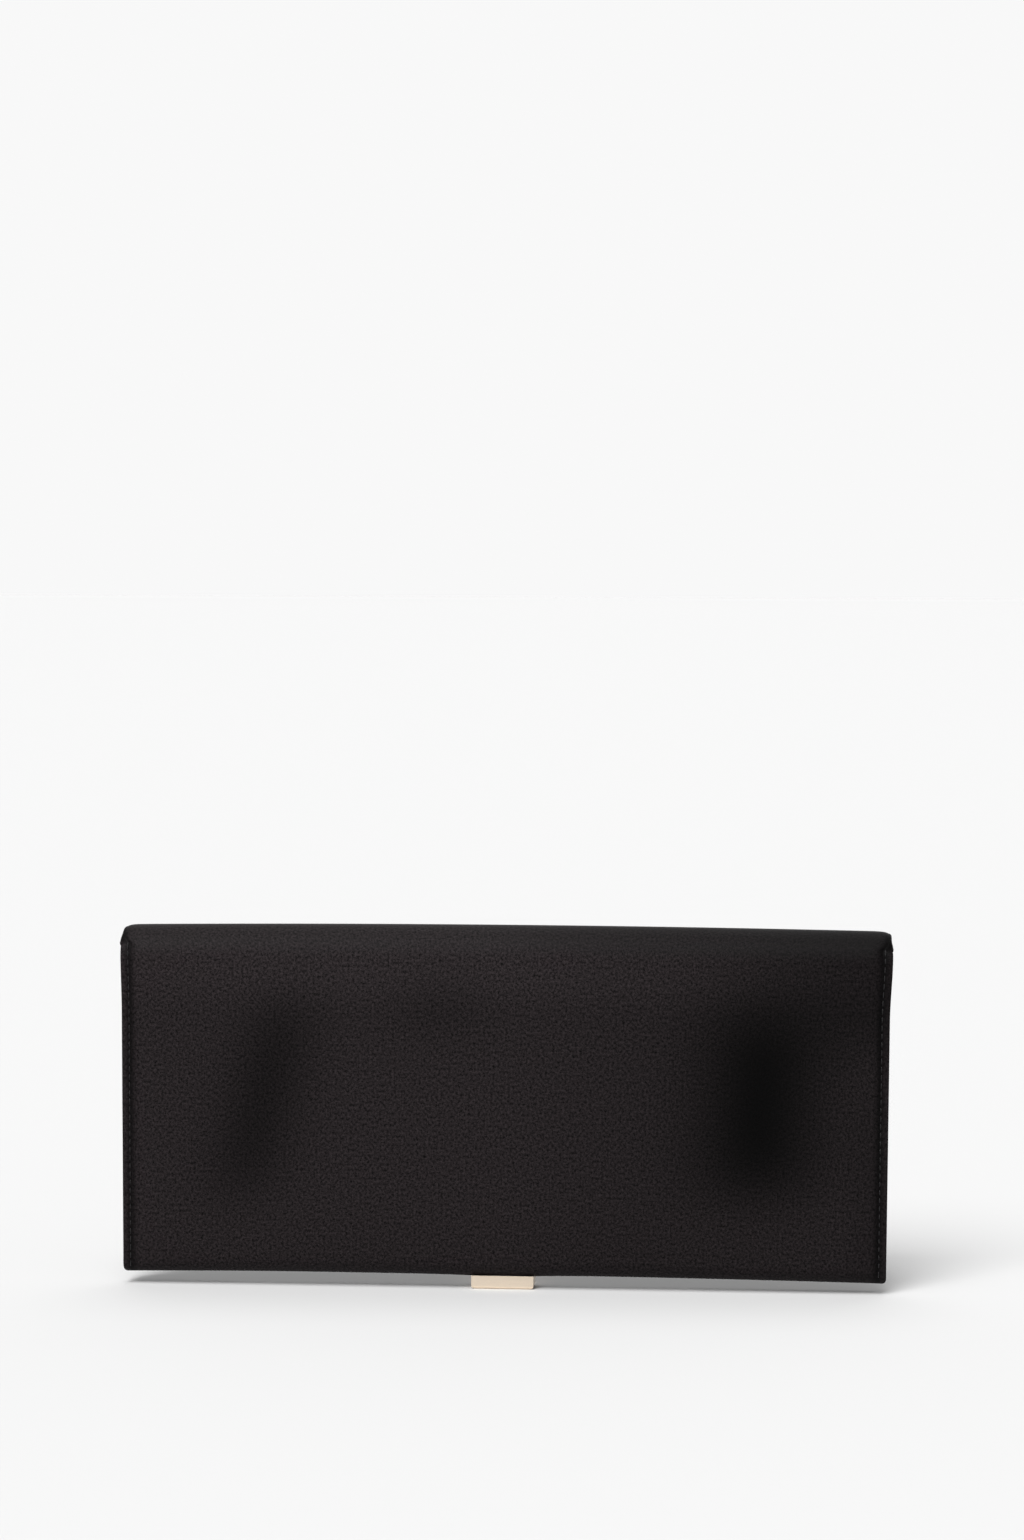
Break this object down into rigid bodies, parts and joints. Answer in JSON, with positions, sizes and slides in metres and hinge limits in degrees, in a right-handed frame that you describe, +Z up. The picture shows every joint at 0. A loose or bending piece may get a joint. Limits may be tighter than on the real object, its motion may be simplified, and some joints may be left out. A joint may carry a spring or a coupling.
{
  "type": "clutch purse",
  "caption": "Slim satin evening clutch with side gussets and a full-length flap over a soft top roll, closed by a magnetic metal clasp that wraps the bottom edge.",
  "frame": {"origin": "on the floor under the middle of the purse, at the level of the clasp's underside", "axes": "+Z up, the back panel faces -Y, the flap is on the +Y side, +X to the right seen from the back"},
  "size_m": [0.27, 0.0219, 0.127],
  "materials": {
    "satin": "black duchesse satin, soft sheen",
    "lining": "charcoal grosgrain lining",
    "board": "grey bag board",
    "felt": "soft felt wadding",
    "thread": "black polyester thread",
    "gold": "pale gold plate, polished",
    "steel": "zinc-plated sheet steel",
    "magnet": "nickel-plated magnet"
  },
  "bodies": {
    "pouch": {"back_panel": "satin", "back_board": "board", "back_lining": "lining", "slip_pocket": "lining", "pocket_binding": "satin", "strike_plate": "steel", "strike_felt": "felt", "gusset_left": "satin", "gusset_right": "satin", "gusset_lining_left": "lining", "gusset_lining_right": "lining", "seam_stitches_left": "thread", "seam_stitches_right": "thread"},
    "front": {"front_panel": "satin", "front_board": "board", "front_lining": "lining", "mouth_facing": "satin", "front_stitches": "thread"},
    "spine": {"spine_satin": "satin", "spine_wadding": "felt", "spine_lining": "lining"},
    "flap": {"flap_satin": "satin", "flap_board": "board", "flap_lining": "lining", "flap_stitches": "thread", "clasp_shell": "gold", "clasp_backing_plate": "steel", "clasp_rivets": "gold", "clasp_magnet": "magnet", "magnet_cover": "gold"}
  },
  "joints": [
    {"name": "spine_fold", "type": "hinge", "parent": "pouch", "child": "spine", "pos_m": [0, -0.00764, 0.12384], "axis": [1, 0, 0], "range_deg": [0, 90]},
    {"name": "flap_fold", "type": "hinge", "parent": "spine", "child": "flap", "pos_m": [0, 0.00764, 0.12384], "axis": [1, 0, 0], "range_deg": [0, 90]},
    {"name": "mouth_spread", "type": "hinge", "parent": "pouch", "child": "front", "pos_m": [0, -0.00182, 0.00909], "axis": [-1, 0, 0], "range_deg": [0, 6]}
  ],
  "couplings": [
    {"joint": "flap_fold", "follows": "spine_fold", "ratio": 1},
    {"joint": "mouth_spread", "follows": "spine_fold", "ratio": 0.0666}
  ]
}
